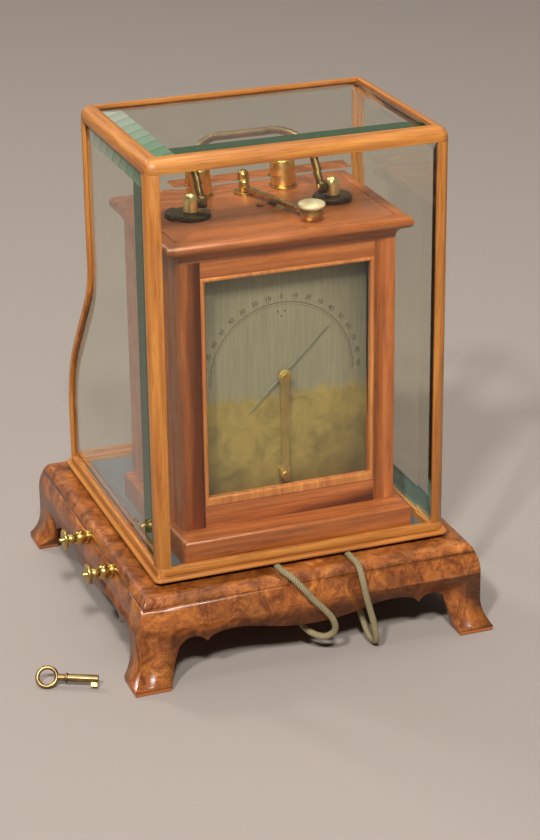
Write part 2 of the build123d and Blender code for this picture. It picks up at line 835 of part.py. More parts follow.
def add_movement(nodes):
    """Needle, arbor, magnet, front cock, rear bridge and the pair of coils."""
    x = instrument_x
    cock_front = cock_rear - cock_thickness
    boss_front = cock_front - cock_boss_thickness
    foot_low = opening_bottom + cock_foot_gap
    foot_shoulder = foot_low + cock_foot_height - 3
    bar_face = Plane.XZ.offset(-cock_rear) * make_face(chain(
        (x - cock_width / 2, pivot_height), (x + cock_width / 2, pivot_height),
        (x + cock_width / 2, foot_low + cock_foot_height), (x + cock_foot_width / 2, foot_shoulder),
        (x + cock_foot_width / 2, foot_low), (x - cock_foot_width / 2, foot_low),
        (x - cock_foot_width / 2, foot_shoulder), (x - cock_width / 2, foot_low + cock_foot_height)))
    cock = extrude(bar_face, cock_thickness)
    cock += Pos(x, (cock_rear + boss_front) / 2, pivot_height) * Rot(90, 0, 0) * Cylinder(
        cock_boss_radius, cock_rear - boss_front)
    cock += box(x - cock_foot_width / 2, x + cock_foot_width / 2, cock_front, dial_front,
                foot_low, foot_shoulder)
    bore = arbor_radius + arbor_clearance
    cock -= Pos(x, cock_rear, pivot_height) * Rot(90, 0, 0) * Cylinder(bore, 2 * cock_thickness)
    nodes["bridge_cock"] = cock
    boss_screw = slotted_head((x, boss_front, pivot_height), screw_head_radius, screw_head_height * 0.8)
    foot_screw = slotted_head((x, cock_front, (foot_low + foot_shoulder) / 2),
                              screw_head_radius, screw_head_height)
    nodes["cock_screws"] = boss_screw + foot_screw

    arbor_front = cock_rear - cock_thickness * 0.9
    arbor_rear = rear_bridge_front + rear_bridge_thickness * 0.9
    outline = chain((0, 0), (0, arbor_radius), (arbor_rear - arbor_front, arbor_radius),
                    (arbor_rear - arbor_front, 0))
    nodes["needle_arbor"] = turned(outline, (x, arbor_front, pivot_height), (0, 1, 0))

    pointer = make_face(chain((-needle_root_width / 2, 0), (-needle_tip_width / 2, needle_long),
                              (needle_tip_width / 2, needle_long), (needle_root_width / 2, 0),
                              (needle_tip_width / 2, -needle_short), (-needle_tip_width / 2, -needle_short)))
    hub = Circle(needle_hub_radius)
    blade = extrude(Plane.XZ * (pointer + hub), needle_thickness)
    blade = Pos(x, needle_front + needle_thickness, pivot_height) * Rot(0, needle_angle, 0) * blade
    eye = Pos(x, needle_front, pivot_height) * Rot(90, 0, 0) * Cylinder(arbor_radius, 4)
    nodes["needle"] = blade - eye

    bar_magnet = Box(magnet_width, magnet_thickness, magnet_length)
    bar_magnet = Pos(x, coil_y, pivot_height) * Rot(0, needle_angle, 0) * bar_magnet
    arbor_hole = Rot(90, 0, 0) * Cylinder(arbor_radius, 2 * magnet_thickness)
    nodes["needle_magnet"] = bar_magnet - Pos(x, coil_y, pivot_height) * arbor_hole

    bobbins = []
    windings = []
    for way in (-1, 1):
        near = x + way * coil_gap / 2
        far = x + way * (coil_gap / 2 + coil_length)
        low_x, high_x = min(near, far), max(near, far)
        centre = (low_x + high_x) / 2
        spot = Pos(centre, coil_y, pivot_height)
        hollow = Box(coil_length + 2, coil_hollow_thickness, coil_hollow_height)
        tube = Box(coil_length, coil_hollow_thickness + 2 * coil_wall, coil_hollow_height + 2 * coil_wall)
        cheek = Box(coil_flange, coil_thickness, coil_height)
        shift = (coil_length - coil_flange) / 2
        bobbin = tube + Pos(-shift, 0, 0) * cheek + Pos(shift, 0, 0) * cheek - hollow
        bobbins.append(spot * bobbin)
        winding = Box(coil_length - 2 * coil_flange, coil_thickness - 2, coil_height - 2)
        winding = fillet(winding.edges().filter_by(Axis.X), 4)
        windings.append(spot * (winding - tube))
    nodes["coil_formers"] = bobbins[0] + bobbins[1]
    nodes["coil_windings"] = windings[0] + windings[1]

    top_z = pivot_height + rear_bridge_span / 2
    low_z = pivot_height - rear_bridge_span / 2
    width = rear_bridge_width / 2
    back = rear_bridge_front + rear_bridge_thickness
    bridge = box(x - width, x + width, rear_bridge_front, back, low_z, top_z)
    for z0, z1 in ((low_z, low_z + rear_bridge_thickness), (top_z - rear_bridge_thickness, top_z)):
        bridge += box(x - width, x + width, dial_rear, back, z0, z1)
    bridge -= Pos(x, back, pivot_height) * Rot(90, 0, 0) * Cylinder(bore, 2 * rear_bridge_thickness + 1)
    nodes["rear_bridge"] = bridge


# Fittings on the instrument's top

def bail():
    """The carrying handle, upright before it is leaned back."""
    rise = bail_length
    side = leg_spread
    path = FilletPolyline((-side, 0, leg_eye_radius * 0.6), (-side, 0, rise), (side, 0, rise),
                          (side, 0, leg_eye_radius * 0.6), radius=bail_corner)
    start = Plane(origin=path @ 0, x_dir=(1, 0, 0), z_dir=path % 0)
    arch = sweep(start * Ellipse(bail_thickness / 2, bail_width / 2), path=path)
    for way in (-1, 1):
        eye = Rot(0, 90, 0) * Cylinder(leg_eye_radius, leg_eye_thickness)
        arch += Pos(way * side, 0, 0) * eye
        pin_bore = Cylinder(pin_radius + pin_clearance, 3 * leg_eye_thickness)
        arch -= Pos(way * side, 0, 0) * Rot(0, 90, 0) * pin_bore
    return arch


def add_handle(nodes):
    """Round plates with lugs and pins, and the bail that swings on them."""
    y = carcass_rear - handle_rear_gap
    pivot = instrument_top + plate_thickness + pin_height
    plates = []
    for way in (-1, 1):
        x = instrument_x + way * handle_spread
        plate = disc(x, y, instrument_top, plate_radius, plate_thickness)
        plate = fillet(plate.faces().sort_by(Axis.Z)[-1].edges(), plate_thickness * 0.35)
        lug_x = instrument_x + way * (leg_spread + leg_eye_thickness / 2 + lug_leg_gap + lug_radius)
        base = instrument_top + plate_thickness - 0.5
        lug = disc(lug_x, y, base, lug_radius, lug_height - lug_radius + 0.5)
        lug += Pos(lug_x, y, base + lug_height - lug_radius + 0.5) * Sphere(lug_radius)
        pin_in = instrument_x + way * (leg_spread - leg_eye_thickness / 2 - 0.6)
        length = abs(lug_x - pin_in)
        pin = Pos((lug_x + pin_in) / 2, y, pivot) * Rot(0, 90, 0) * Cylinder(pin_radius, length)
        plates.append(plate + lug + pin)
    nodes["handle_plates"] = plates[0] + plates[1]
    nodes["handle_bail"] = Pos(instrument_x, y, pivot) * Rot(-bail_lean, 0, 0) * bail()


def add_terminals(nodes):
    """Two terminal studs on round seats, each with a drum nut."""
    y = carcass_rear - terminal_rear_gap
    studs = []
    for name, way in (("left", -1), ("right", 1)):
        x = instrument_x + way * terminal_spread
        top = terminal_seat_thickness + drum_gap + drum_height
        seat = disc(x, y, instrument_top, terminal_seat_radius, terminal_seat_thickness)
        seat = fillet(seat.faces().sort_by(Axis.Z)[-1].edges(), terminal_seat_thickness * 0.4)
        studs.append(seat + disc(x, y, instrument_top, terminal_stud_radius, top))
        drum = disc(x, y, instrument_top + terminal_seat_thickness + drum_gap, drum_radius, drum_height)
        drum = chamfer(drum.faces().sort_by(Axis.Z)[-1].edges(), 0.5)
        bore = disc(x, y, instrument_top, terminal_stud_radius + thread_clearance, 2 * top)
        nodes["terminal_drum_" + name] = drum - bore
    nodes["terminal_studs"] = studs[0] + studs[1]


def add_lever(nodes):
    """Contact lever with its hub, brass cup and ivory knob, and the studs it sweeps over."""
    x = instrument_x
    y = carcass_rear - lever_rear_gap
    top = instrument_top
    seat = disc(x, y, top, lever_seat_radius, lever_seat_thickness)
    stud_top = lever_seat_thickness + lever_gap + lever_hub_height
    nodes["lever_seat"] = seat + disc(x, y, top, lever_stud_radius, stud_top)

    hub_low = top + lever_seat_thickness + lever_gap
    arm_low = top + lever_seat_thickness + lever_gap + lever_arm_rise
    outline = [
        Line((0, 0), (0, lever_hub_radius)),
        Line((0, lever_hub_radius), (lever_hub_height * 0.7, lever_hub_radius)),
        ThreePointArc((lever_hub_height * 0.7, lever_hub_radius),
                      (lever_hub_height * 0.93, lever_hub_radius * 0.7), (lever_hub_height, 0)),
        Line((lever_hub_height, 0), (0, 0)),
    ]
    lever = turned(Curve() + outline, (x, y, hub_low), (0, 0, 1))
    arm_end = y - lever_length
    lever += box(x - lever_arm_width / 2, x + lever_arm_width / 2, arm_end, y,
                 arm_low, arm_low + lever_arm_thickness)
    lever += disc(x, arm_end, top + cup_lift, cup_radius, cup_height)
    lever -= disc(x, arm_end, top + cup_lift + cup_height * 0.5, cup_radius - cup_wall, cup_height)
    wiper_low = top + contact_height + contact_radius * 0.1
    lever += disc(x, y - contact_distance, wiper_low, contact_radius * 0.7, arm_low - wiper_low + lever_weld)
    lever -= disc(x, y, top, lever_stud_radius + thread_clearance, stud_top + 0.1)
    swing = Pos(x, y, 0) * Rot(0, 0, lever_angle) * Pos(-x, -y, 0)
    nodes["contact_lever"] = swing * lever

    floor = cup_height * 0.5
    neck_end = floor + knob_neck_height + cup_height * 0.2
    head_end = neck_end + knob_head_height
    under = (neck_end + 0.6, knob_head_radius * 0.92)
    rim = (neck_end + knob_head_height * 0.4, knob_head_radius)
    over = (neck_end + knob_head_height * 0.7, knob_head_radius * 0.9)
    crown = (head_end - 0.4, knob_head_radius * 0.5)
    knob = [
        Line((floor, 0), (floor, knob_neck_radius)),
        Line((floor, knob_neck_radius), (neck_end - 1, knob_neck_radius)),
        Line((neck_end - 1, knob_neck_radius), under),
        ThreePointArc(under, rim, over),
        ThreePointArc(over, crown, (head_end, knob_head_radius * 0.1)),
        Line((head_end, knob_head_radius * 0.1), (head_end, 0)),
        Line((head_end, 0), (floor, 0)),
    ]
    nodes["lever_knob"] = swing * turned(Curve() + knob, (x, arm_end, top + cup_lift), (0, 0, 1))

    contacts = []
    for angle in (0, lever_angle):
        place = Pos(x, y, 0) * Rot(0, 0, angle) * Pos(0, -contact_distance, 0)
        contacts.append(place * disc(0, 0, top, contact_radius, contact_height))
    nodes["contact_studs"] = contacts[0] + contacts[1]


# Lock and key

def lock_centre():
    """Y of the staple and bolt, under the cover's rear rail."""
    return cover_rear - staple_inset


def lock_slot():
    """The slot through deck and plinth that lets the staple down."""
    y = lock_centre()
    wide = staple_flange / 2 + 1
    deep = staple_width / 2 + 1
    flange = box(-wide, wide, y - deep, y + deep, deck_top, cover_bottom + 1)
    return flange + box(-staple_thickness, staple_thickness, y - staple_width / 2 - 0.5,
                        y + staple_width / 2 + 0.5, deck_underside - 1, cover_bottom)


def lock_guide(spare, length):
    """The oval tube that leads the key through the rear apron."""
    y = lock_centre() + staple_width / 2 + lock_wall
    z = deck_underside - lock_drop / 2
    oval = SlotOverall(lock_guide_height + 2 * spare, lock_guide_width + 2 * spare)
    face = Plane(origin=(0, y, z), x_dir=(0, 0, 1), z_dir=(0, 1, 0)) * oval
    return extrude(face, length)


def add_lock(nodes):
    """Lock case under the deck with its bolt, the cover's staple and the loose key."""
    y = lock_centre()
    z_high = deck_underside
    z_low = deck_underside - lock_drop
    reach = staple_width / 2 + lock_wall
    case = box(-lock_half_width, lock_half_width, y - reach, y + reach, z_low, z_high)
    guide_length = case_depth / 2 + reach_side - (y + reach) + lock_guide_proud
    case += lock_guide(0, guide_length)
    spare = bolt_clearance
    case -= box(-staple_thickness, staple_thickness, y - staple_width / 2 - spare,
                y + staple_width / 2 + spare, z_low + lock_wall, z_high + 1)
    bolt_z = cover_bottom - bolt_drop
    bolt_low = bolt_z - bolt_height / 2
    bolt_high = bolt_z + bolt_height / 2
    case -= box(-lock_half_width + lock_wall, lock_half_width + 1,
                y - bolt_width / 2 - spare, y + bolt_width / 2 + spare, bolt_low - spare, bolt_high + spare)
    key_z = deck_underside - lock_drop / 2 + 1.5
    keyhole = Rot(90, 0, 0) * Cylinder(keyhole_radius, guide_length + 4)
    case -= Pos(0, y + reach + guide_length / 2, key_z) * keyhole
    case -= box(-keyhole_slot / 2, keyhole_slot / 2, y + reach - 2, y + reach + guide_length + 1,
                key_z - keyhole_drop, key_z)
    nodes["lock_case"] = case
    bolt_start = staple_thickness + spare
    nodes["lock_bolt"] = box(bolt_start, bolt_start + bolt_length, y - bolt_width / 2, y + bolt_width / 2,
                             bolt_low, bolt_high)
    eye = bolt_width / 2 + 2 * spare
    plate = box(-staple_thickness / 2, staple_thickness / 2, y - staple_width / 2, y + staple_width / 2,
                cover_bottom - staple_length, cover_bottom)
    plate -= box(-staple_thickness, staple_thickness, y - eye, y + eye,
                 bolt_low - 2 * spare, bolt_high + 2 * spare)
    plate += box(-staple_flange / 2, staple_flange / 2, y - staple_width / 2, y + staple_width / 2,
                 cover_bottom - staple_flange_thickness, cover_bottom)
    nodes["cover_staple"] = plate
    nodes["case_key"] = case_key()


def case_key():
    """A ring-bow key, bow at the left, its bit turned down."""
    outer = key_bow_radius + key_bow_wire
    ring = Torus(key_bow_radius, key_bow_wire)
    shank_start = outer - 1.0
    shank_end = key_length - outer
    shank = [
        Line((shank_start, 0), (shank_start, key_shank_radius * 0.9)),
        Line((shank_start, key_shank_radius * 0.9), (shank_start + 5.4, key_shank_radius * 0.85)),
        ThreePointArc((shank_start + 5.4, key_shank_radius * 0.85),
                      (shank_start + 6.4, key_shank_radius * 1.25),
                      (shank_start + 7.4, key_shank_radius * 0.95)),
        Line((shank_start + 7.4, key_shank_radius * 0.95), (shank_end, key_shank_radius)),
        Line((shank_end, key_shank_radius), (shank_end, 0)),
        Line((shank_end, 0), (shank_start, 0)),
    ]
    key = ring + turned(Curve() + shank, (0, 0, 0), (1, 0, 0))
    key += box(shank_end - key_bit_width, shank_end, -key_bit_reach, 0,
               -key_bit_thickness / 2, key_bit_thickness / 2)
    key -= Pos(shank_end - 4, 0, 0) * Rot(0, 90, 0) * Cylinder(key_shank_radius * 0.45, 10)
    tip_x = -case_width / 2 - reach_toe - key_side_gap
    tip_y = cover_front - key_front_gap
    centre_x = tip_x - shank_end * math.cos(math.radians(key_turn))
    centre_y = tip_y - shank_end * math.sin(math.radians(key_turn))
    return Pos(centre_x, centre_y, key_lift) * Rot(0, 0, key_turn) * Rot(key_tilt, 0, 0) * key


def build():
    """Every node of the object, by name."""
    nodes = {}
    notches = cord_notches()
    slot = lock_slot()
    add_base(nodes, notches, slot, post_sockets())
    add_plinth(nodes, notches, slot)
    add_leads(nodes)
    add_binding_posts(nodes)
    add_cover_bars(nodes)
    add_panes(nodes)
    add_carcass(nodes)
    add_dial(nodes)
    add_movement(nodes)
    add_handle(nodes)
    add_terminals(nodes)
    add_lever(nodes)
    add_lock(nodes)
    return nodes


os.makedirs("parts", exist_ok=True)
for node_name, shape in build().items():
    export_step(shape, "parts/" + node_name + ".step")
    print(node_name, len(shape.solids()), "solid(s)", "%.0f mm3" % shape.volume)
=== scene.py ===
import bmesh
import bpy
import math
from mathutils import Matrix, Vector


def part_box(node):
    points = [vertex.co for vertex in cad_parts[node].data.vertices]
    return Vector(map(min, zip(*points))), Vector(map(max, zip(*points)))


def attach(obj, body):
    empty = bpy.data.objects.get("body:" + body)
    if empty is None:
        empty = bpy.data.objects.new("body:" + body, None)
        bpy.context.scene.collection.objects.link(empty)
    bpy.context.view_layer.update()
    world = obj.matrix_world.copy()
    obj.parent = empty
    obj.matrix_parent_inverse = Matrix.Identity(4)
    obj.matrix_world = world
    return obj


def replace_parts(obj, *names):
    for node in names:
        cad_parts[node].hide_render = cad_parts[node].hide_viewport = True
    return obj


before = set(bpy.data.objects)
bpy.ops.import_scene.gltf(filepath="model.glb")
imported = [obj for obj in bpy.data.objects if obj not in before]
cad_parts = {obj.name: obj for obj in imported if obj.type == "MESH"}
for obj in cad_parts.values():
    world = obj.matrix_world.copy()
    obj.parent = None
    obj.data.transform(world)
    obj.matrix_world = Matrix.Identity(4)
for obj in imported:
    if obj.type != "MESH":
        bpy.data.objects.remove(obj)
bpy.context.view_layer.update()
mm = 0.001


# Camera at the photograph's place

camera = {
    "place": (-0.5217, -1.4591, 0.7789),
    "forward": (0.3197, 0.8674, -0.3814),
    "roll": -0.68,
    "sensor": 36,
    "lens": 156.68,
    "shiftDown": -15 / 540,
    "clip": (0.05, 30),
}


def makeCamera(cam):
    forward = Vector(cam["forward"]).normalized()
    right = forward.cross(Vector((0, 0, 1))).normalized()
    up = right.cross(forward)
    turn = math.radians(cam["roll"])
    side = right * math.cos(turn) + up * math.sin(turn)
    top = up * math.cos(turn) - right * math.sin(turn)
    eye = bpy.data.objects.new("camera", bpy.data.cameras.new("camera"))
    eye.data.sensor_fit = "HORIZONTAL"
    eye.data.sensor_width = cam["sensor"]
    eye.data.lens = cam["lens"]
    eye.data.shift_y = cam["shiftDown"]
    eye.data.clip_start, eye.data.clip_end = cam["clip"]
    eye.matrix_world = Matrix((
        (side.x, top.x, -forward.x, cam["place"][0]),
        (side.y, top.y, -forward.y, cam["place"][1]),
        (side.z, top.z, -forward.z, cam["place"][2]),
        (0, 0, 0, 1)))
    bpy.context.collection.objects.link(eye)
    bpy.context.scene.camera = eye


makeCamera(camera)
print("camera done")


# Small helpers for materials; a noise is given as scale, detail, roughness and distortion

coatRoughness = 0.12


def paint(code):  # a hex colour as the linear values that Blender uses
    parts = [int(code[i:i + 2], 16) / 255 for i in (0, 2, 4)]
    return [p / 12.92 if p < 0.04045 else ((p + 0.055) / 1.055) ** 2.4 for p in parts] + [1]


def newMaterial(name, roughness, metallic=0.0, coat=0.0, specular=0.5):
    material = bpy.data.materials.new(name)
    material.use_nodes = True
    shader = material.node_tree.nodes["Principled BSDF"]
    shader.inputs["Roughness"].default_value = roughness
    shader.inputs["Metallic"].default_value = metallic
    shader.inputs["Coat Weight"].default_value = coat
    shader.inputs["Coat Roughness"].default_value = coatRoughness
    shader.inputs["Specular IOR Level"].default_value = specular
    return material, shader


def addNode(owner, kind, **values):
    node = owner.node_tree.nodes.new(kind)
    for name, value in values.items():
        if name in node.inputs:
            node.inputs[name].default_value = value
        else:
            setattr(node, name, value)
    return node


def join(owner, start, end):
    owner.node_tree.links.new(start, end)


def objectPlace(material, scale=(1, 1, 1)):
    place = addNode(material, "ShaderNodeTexCoord")
    mapping = addNode(material, "ShaderNodeMapping", Scale=scale)
    join(material, place.outputs["Object"], mapping.inputs["Vector"])
    return mapping.outputs["Vector"]


def alongAxis(material, letter):  # the place along X, Y or Z
    parts = addNode(material, "ShaderNodeSeparateXYZ")
    join(material, objectPlace(material), parts.inputs[0])
    return parts.outputs[letter]


def noise(material, place, scale, detail=4.0, rough=0.55, distortion=0.0):
    node = addNode(material, "ShaderNodeTexNoise", Scale=scale, Detail=detail, Roughness=rough,
                   Distortion=distortion)
    join(material, place, node.inputs["Vector"])
    return node.outputs["Fac"]


def ramp(material, factor, stops):
    node = addNode(material, "ShaderNodeValToRGB")
    while len(node.color_ramp.elements) < len(stops):
        node.color_ramp.elements.new(0.5)
    for element, (position, colour) in zip(node.color_ramp.elements, stops):
        element.position = position
        element.color = paint(colour) if isinstance(colour, str) else [colour, colour, colour, 1]
    join(material, factor, node.inputs["Fac"])
    return node.outputs["Color"]


def spread(material, value, ends):  # from 0 to 1 as a value goes from one end to the other
    node = addNode(material, "ShaderNodeMapRange")
    join(material, value, node.inputs["Value"])
    node.inputs["From Min"].default_value, node.inputs["From Max"].default_value = ends
    return node.outputs["Result"]


def larger(owner, first, second):
    node = addNode(owner, "ShaderNodeMath", operation="MAXIMUM")
    join(owner, first, node.inputs[0])
    join(owner, second, node.inputs[1])
    return node.outputs[0]


def mixColour(material, factor, first, second, blend="MIX"):
    node = addNode(material, "ShaderNodeMix", data_type="RGBA", blend_type=blend)
    for value, socket in ((factor, node.inputs[0]), (first, node.inputs[6]), (second, node.inputs[7])):
        if hasattr(value, "links"):
            join(material, value, socket)
        else:
            socket.default_value = value
    return node.outputs[2]


def shaded(material, share, colour, shade):  # a colour darkened by a shade, by a share of its strength
    return mixColour(material, share, colour, shade, "MULTIPLY")


def mixShaders(owner, factor, first, second):
    node = addNode(owner, "ShaderNodeMixShader")
    if hasattr(factor, "links"):
        join(owner, factor, node.inputs[0])
    else:
        node.inputs[0].default_value = factor
    join(owner, first, node.inputs[1])
    join(owner, second, node.inputs[2])
    return node.outputs[0]


def bump(material, shader, height, strength, distance):
    node = addNode(material, "ShaderNodeBump", Strength=strength, Distance=distance)
    join(material, height, node.inputs["Height"])
    join(material, node.outputs["Normal"], shader.inputs["Normal"])


# Woods

straightWood = {
    "coverWood": {"colours": ("955420", "b06d2a", "c28036"), "fine": 900, "coat": 0.08, "rough": 0.42},
    "mahoganyWood": {"colours": ("83421a", "a85924", "ba6b31"), "fine": 1100, "coat": 0.15, "rough": 0.36},
    "beadWood": {"colours": ("a0552a", "c07336", "d08646"), "fine": 1100, "coat": 0.2, "rough": 0.36},
}

woodGrain = {
    "streaks": (260, 5, 0.6, 0.4), "streakStretch": 0.05, "streakStops": (0.3, 0.5, 0.68),
    "broad": (22, 3, 0.5, 0.8), "broadStretch": 0.3, "broadShade": [(0.3, 0.72), (0.65, 1.0)],
    "broadShare": 0.7,
    "poreDetail": (2, 0.5), "poreStretch": 0.06, "poreShade": [(0.32, 0.5), (0.4, 1.0)], "poreShare": 0.6,
    "poreBump": (0.12, 0.0002),
    "wear": (60, 3), "wearChange": [(0.35, -0.08), (0.7, 0.16)],
}


def drawnOut(material, way, share):  # object coordinates drawn out along one axis
    return objectPlace(material, [share if letter == way else 1 for letter in "XYZ"])


def changed(middle, stops):  # a roughness a little under and over its middle value
    return [(position, middle + change) for position, change in stops]


def grainWood(name, look, way):  # wood whose grain runs along X, Y or Z
    grain = woodGrain
    material, shader = newMaterial(name + way, look["rough"], coat=look["coat"])
    streaks = noise(material, drawnOut(material, way, grain["streakStretch"]), *grain["streaks"])
    broad = noise(material, drawnOut(material, way, grain["broadStretch"]), *grain["broad"])
    pores = noise(material, drawnOut(material, way, grain["poreStretch"]), look["fine"], *grain["poreDetail"])
    poreMask = ramp(material, pores, grain["poreShade"])
    colour = ramp(material, streaks, list(zip(grain["streakStops"], look["colours"])))
    colour = shaded(material, grain["broadShare"], colour, ramp(material, broad, grain["broadShade"]))
    colour = shaded(material, grain["poreShare"], colour, poreMask)
    join(material, colour, shader.inputs["Base Color"])
    wear = noise(material, objectPlace(material), *grain["wear"])
    shine = ramp(material, wear, changed(look["rough"], grain["wearChange"]))
    join(material, shine, shader.inputs["Roughness"])
    bump(material, shader, poreMask, *grain["poreBump"])
    return material


burrVeneer = {
    "colours": [(0.3, "4c240e"), (0.42, "7e4015"), (0.52, "9e5822"), (0.62, "b46c2c"), (0.76, "ca873d")],
    "rough": 0.38, "coat": 0.12, "shine": [(0.3, 0.28), (0.7, 0.44)],
    "clouds": (62, 8, 0.74, 1.2),
    "patches": (24, 5, 0.65, 1.0), "patchShade": [(0.38, 0.5), (0.56, 1.0)], "patchShare": 0.75,
    "veins": (40, 7, 0.72, 2.2), "veinShade": [(0.468, 1.0), (0.49, 0.22), (0.51, 1.0)], "veinShare": 0.75,
    "veinBump": (0.08, 0.0003),
    "knots": 85, "knotShade": [(0.06, 0.45), (0.2, 1.0)], "knotShare": 0.5,
    "stretch": {"burrFront": (1, 1, 1), "burrSide": (1.2, 0.8, 0.5)},
}


def burrWood(name, look):  # burr veneer: clouds, dark knots and thin dark vein lines
    material, shader = newMaterial(name, look["rough"], coat=look["coat"])
    place = objectPlace(material, look["stretch"][name])
    clouds = noise(material, place, *look["clouds"])
    patches = noise(material, place, *look["patches"])
    veinMask = ramp(material, noise(material, place, *look["veins"]), look["veinShade"])
    knots = addNode(material, "ShaderNodeTexVoronoi", Scale=look["knots"], Randomness=1.0)
    join(material, place, knots.inputs["Vector"])
    colour = ramp(material, clouds, look["colours"])
    colour = shaded(material, look["patchShare"], colour, ramp(material, patches, look["patchShade"]))
    colour = shaded(material, look["veinShare"], colour, veinMask)
    knotMask = ramp(material, knots.outputs["Distance"], look["knotShade"])
    colour = shaded(material, look["knotShare"], colour, knotMask)
    join(material, colour, shader.inputs["Base Color"])
    join(material, ramp(material, clouds, look["shine"]), shader.inputs["Roughness"])
    bump(material, shader, veinMask, *look["veinBump"])
    return material


# Metals

metals = {
    "goldBrass": {"colour": "e2c374", "dark": "cdab5c", "rough": 0.3},
    "oldBrass": {"colour": "c8a45c", "dark": "a8853f", "rough": 0.26},
    "cockBrass": {"colour": "b9a065", "dark": "a68d55", "rough": 0.4},
    "darkBrass": {"colour": "8d7040", "dark": "6a5229", "rough": 0.3},
    "nutBrass": {"colour": "c2a662", "dark": "967c44", "rough": 0.34},
    "keyMetal": {"colour": "9c8257", "dark": "54422a", "rough": 0.34},
    "plainSteel": {"colour": "a9a7a2", "dark": "5b5a58", "rough": 0.35},
    "blueSteel": {"colour": "565a5c", "dark": "3a3d40", "rough": 0.35},
}

metalWear = {
    "stains": (70, 3, 0.5, 0.3), "stainStops": (0.3, 0.6),
    "polish": (130, 2), "polishChange": [(0.3, -0.06), (0.7, 0.1)],
    "scratches": (900, 2), "scratchBump": (0.05, 0.0001),
}


def metal(name):
    look, wear = metals[name], metalWear
    material, shader = newMaterial(name, look["rough"], metallic=1.0)
    place = objectPlace(material)
    tones = list(zip(wear["stainStops"], (look["dark"], look["colour"])))
    stains = noise(material, place, *wear["stains"])
    join(material, ramp(material, stains, tones), shader.inputs["Base Color"])
    polish = noise(material, place, *wear["polish"])
    shine = ramp(material, polish, changed(look["rough"], wear["polishChange"]))
    join(material, shine, shader.inputs["Roughness"])
    bump(material, shader, noise(material, place, *wear["scratches"]), *wear["scratchBump"])
    return material


handlePlate = {
    "rough": 0.28, "shoulder": (0.2996, 0.3004), "worn": (260, 5, 0.7),
    "plate": [(0.4, "3b2e19"), (0.6, "5c4826"), (0.74, "8d7038")],
    "dome": [(0.4, "edcf82"), (0.6, "fbe6aa")],
}


def handlePlateMetal(look):  # dark lacquered plates under bright turned domes
    material, shader = newMaterial("handlePlateMetal", look["rough"], metallic=1.0)
    above = spread(material, alongAxis(material, "Z"), look["shoulder"])
    worn = noise(material, objectPlace(material), *look["worn"])
    plate, dome = (ramp(material, worn, look[key]) for key in ("plate", "dome"))
    colour = mixColour(material, above, plate, dome)
    join(material, colour, shader.inputs["Base Color"])
    return material


# Cloth whose dark colour is partly painted shade, ivory and the dial's plate

# dark blue-grey cloth; its darkness is partly painted shade inside the case and in the gap under the cover
floorClothAndShade = {"rough": 0.9, "sheen": 0.3, "nap": (700, 3), "colours": [(0.3, "2a323a"), (0.7, "4a545c")],
              "bump": (0.4, 0.0004)}


def cloth(look):
    material, shader = newMaterial("floorClothAndShade", look["rough"])
    shader.inputs["Sheen Weight"].default_value = look["sheen"]
    nap = noise(material, objectPlace(material), *look["nap"])
    join(material, ramp(material, nap, look["colours"]), shader.inputs["Base Color"])
    bump(material, shader, nap, *look["bump"])
    return material


knobIvory = {"rough": 0.32, "coat": 0.3, "layers": (1, 1, 4), "rings": (120, 4, 0.6),
             "colours": [(0.35, "c0a97c"), (0.6, "e2d0a6")]}


def ivory(look):
    material, shader = newMaterial("ivory", look["rough"], coat=look["coat"])
    rings = noise(material, objectPlace(material, look["layers"]), *look["rings"])
    join(material, ramp(material, rings, look["colours"]), shader.inputs["Base Color"])
    return material


dialPlate = {
    "rough": 0.48, "metallic": 0.35,
    "wave": (60, 3, 0.6), "waveStretch": (1, 0, 0.3), "waveHeight": 0.022, "silverFrom": (0.181, 0.187),
    "brush": (900, 3), "brushStretch": (1, 1, 0.04), "silver": [(0.3, "877f6c"), (0.7, "98907b")],
    "stain": (55, 5, 0.6, 0.8), "brass": [(0.3, "7c6a3c"), (0.5, "9a8449"), (0.7, "ad9555")],
    "borderStretch": (1, 0, 0.78), "borderCentre": (-0.004, 0, 0.146), "borderShare": 0.85,
    "borderShade": [(0.045, 1.0), (0.084, 0.28)],
    "specks": (1500, 2), "speckShade": [(0.26, 0.5), (0.34, 1.0)], "speckShare": 0.5,
}


def silveredPlate(look):  # silver above, worn to yellow brass below a wavy edge, darker round the border
    material, shader = newMaterial("silveredPlate", look["rough"], metallic=look["metallic"])
    place = objectPlace(material)
    wave = noise(material, objectPlace(material, look["waveStretch"]), *look["wave"])
    lift = addNode(material, "ShaderNodeMath", operation="MULTIPLY_ADD")
    join(material, wave, lift.inputs[0])
    lift.inputs[1].default_value = look["waveHeight"]
    join(material, alongAxis(material, "Z"), lift.inputs[2])
    brushed = noise(material, objectPlace(material, look["brushStretch"]), *look["brush"])
    stained = noise(material, place, *look["stain"])
    colour = mixColour(material, spread(material, lift.outputs[0], look["silverFrom"]),
                       ramp(material, stained, look["brass"]), ramp(material, brushed, look["silver"]))
    border = addNode(material, "ShaderNodeVectorMath", operation="DISTANCE")
    join(material, objectPlace(material, look["borderStretch"]), border.inputs[0])
    border.inputs[1].default_value = look["borderCentre"]
    shade = ramp(material, border.outputs["Value"], look["borderShade"])
    colour = shaded(material, look["borderShare"], colour, shade)
    specks = noise(material, place, *look["specks"])
    colour = shaded(material, look["speckShare"], colour, ramp(material, specks, look["speckShade"]))
    join(material, colour, shader.inputs["Base Color"])
    return material


# Glass

glass = {
    "refraction": 1.28, "haze": "c9d2d2", "clear": "fbfdfc",
    "coverGlass": {"tint": "f3f3ea", "veil": 0.003}, "instrumentGlass": {"tint": "fcf8ee", "veil": 0.006},
}


